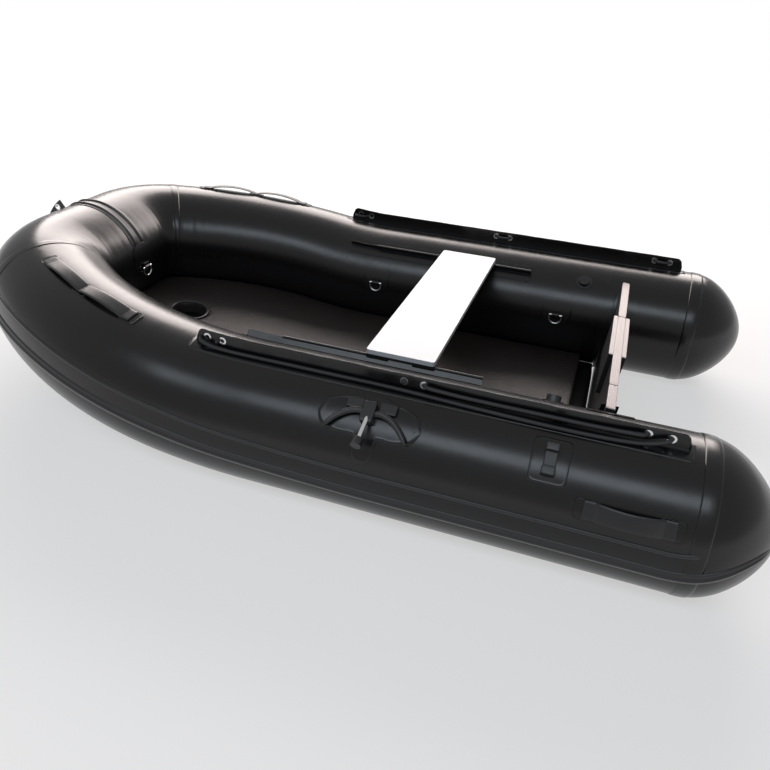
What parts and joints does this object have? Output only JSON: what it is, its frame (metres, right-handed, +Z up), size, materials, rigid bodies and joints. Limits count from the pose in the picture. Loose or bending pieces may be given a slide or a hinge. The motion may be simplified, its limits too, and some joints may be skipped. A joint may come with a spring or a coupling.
{
  "type": "inflatable boat",
  "caption": "Small black inflatable boat with an air floor, a wooden transom for an outboard motor, a sliding white bench, lifelines, oarlocks and carrying handles.",
  "frame": {"origin": "middle of the boat's overall box, on the ground that the side tubes lie on", "axes": "+X forward to the bow, +Y to port, +Z up"},
  "size_m": [2.4094, 1.4852, 0.4996],
  "materials": {
    "tube_fabric": "satin black coated fabric",
    "strake_rubber": "black rubber",
    "floor_fabric": "dark non-skid coated fabric",
    "bottom_fabric": "black coated fabric",
    "patch_fabric": "glossy black coated fabric",
    "transom_wood": "black coated plywood with a pale edge",
    "pad_plastic": "black plastic",
    "bench_paint": "satin white",
    "bright_steel": "polished",
    "rope": "braided dark rope",
    "webbing": "black webbing",
    "black_plastic": "moulded black plastic"
  },
  "bodies": {
    "hull": {"air_floor": "floor_fabric", "bow_chafe_strip": "patch_fabric", "bow_ring_patch": "patch_fabric", "bow_tube": "tube_fabric", "drain_plug": "black_plastic", "hull_bottom": "bottom_fabric", "inner_motor_pad": "pad_plastic", "keel_valve": "black_plastic", "outer_motor_pad": "pad_plastic", "port_aft_ring_patch": "patch_fabric", "port_bench_track": "patch_fabric", "port_bow_handle": "webbing", "port_eyelets": "bright_steel", "port_forward_ring_patch": "patch_fabric", "port_lifeline": "rope", "port_lifeline_strip": "patch_fabric", "port_oar_clip": "black_plastic", "port_oarlock": "black_plastic", "port_oarlock_knob": "black_plastic", "port_oarlock_patch": "patch_fabric", "port_oarlock_pin": "bright_steel", "port_stern_cone": "tube_fabric", "port_stern_handle": "webbing", "port_transom_holder": "patch_fabric", "port_tube": "tube_fabric", "port_tube_valve": "black_plastic", "rub_strakes": "strake_rubber", "starboard_aft_ring_patch": "patch_fabric", "starboard_bench_track": "patch_fabric", "starboard_bow_handle": "webbing", "starboard_eyelets": "bright_steel", "starboard_forward_ring_patch": "patch_fabric", "starboard_lifeline": "rope", "starboard_lifeline_strip": "patch_fabric", "starboard_oar_clip": "black_plastic", "starboard_oarlock": "black_plastic", "starboard_oarlock_knob": "black_plastic", "starboard_oarlock_patch": "patch_fabric", "starboard_oarlock_pin": "bright_steel", "starboard_stern_cone": "tube_fabric", "starboard_stern_handle": "webbing", "starboard_transom_holder": "patch_fabric", "starboard_tube": "tube_fabric", "starboard_tube_valve": "black_plastic", "tow_eyelets": "bright_steel", "tow_tab": "patch_fabric", "transom_board": "transom_wood"},
    "bench": {"bench_board": "bench_paint", "port_bench_clips": "black_plastic", "starboard_bench_clips": "black_plastic"},
    "port_forward_ring_body": {"port_forward_ring": "bright_steel"},
    "port_aft_ring_body": {"port_aft_ring": "bright_steel"},
    "starboard_forward_ring_body": {"starboard_forward_ring": "bright_steel"},
    "starboard_aft_ring_body": {"starboard_aft_ring": "bright_steel"},
    "bow_ring_body": {"bow_ring": "bright_steel"}
  },
  "joints": [
    {"name": "bench_slide", "type": "slide", "parent": "hull", "child": "bench", "axis": [1, 0, 0], "range_m": [-0.115, 0.24]},
    {"name": "port_forward_ring_swing", "type": "hinge", "parent": "hull", "child": "port_forward_ring_body", "pos_m": [0.06647, 0.3314, 0.2347], "axis": [-1, 0, 0], "range_deg": [0, 150]},
    {"name": "port_aft_ring_swing", "type": "hinge", "parent": "hull", "child": "port_aft_ring_body", "pos_m": [-0.59453, 0.3314, 0.2347], "axis": [-1, 0, 0], "range_deg": [0, 150]},
    {"name": "starboard_forward_ring_swing", "type": "hinge", "parent": "hull", "child": "starboard_forward_ring_body", "pos_m": [0.06647, -0.3314, 0.2347], "axis": [1, 0, 0], "range_deg": [0, 150]},
    {"name": "starboard_aft_ring_swing", "type": "hinge", "parent": "hull", "child": "starboard_aft_ring_body", "pos_m": [-0.59453, -0.3314, 0.2347], "axis": [1, 0, 0], "range_deg": [0, 150]},
    {"name": "bow_ring_swing", "type": "hinge", "parent": "hull", "child": "bow_ring_body", "pos_m": [0.80701, 0, 0.29173], "axis": [0, 1, 0], "range_deg": [0, 150]}
  ]
}
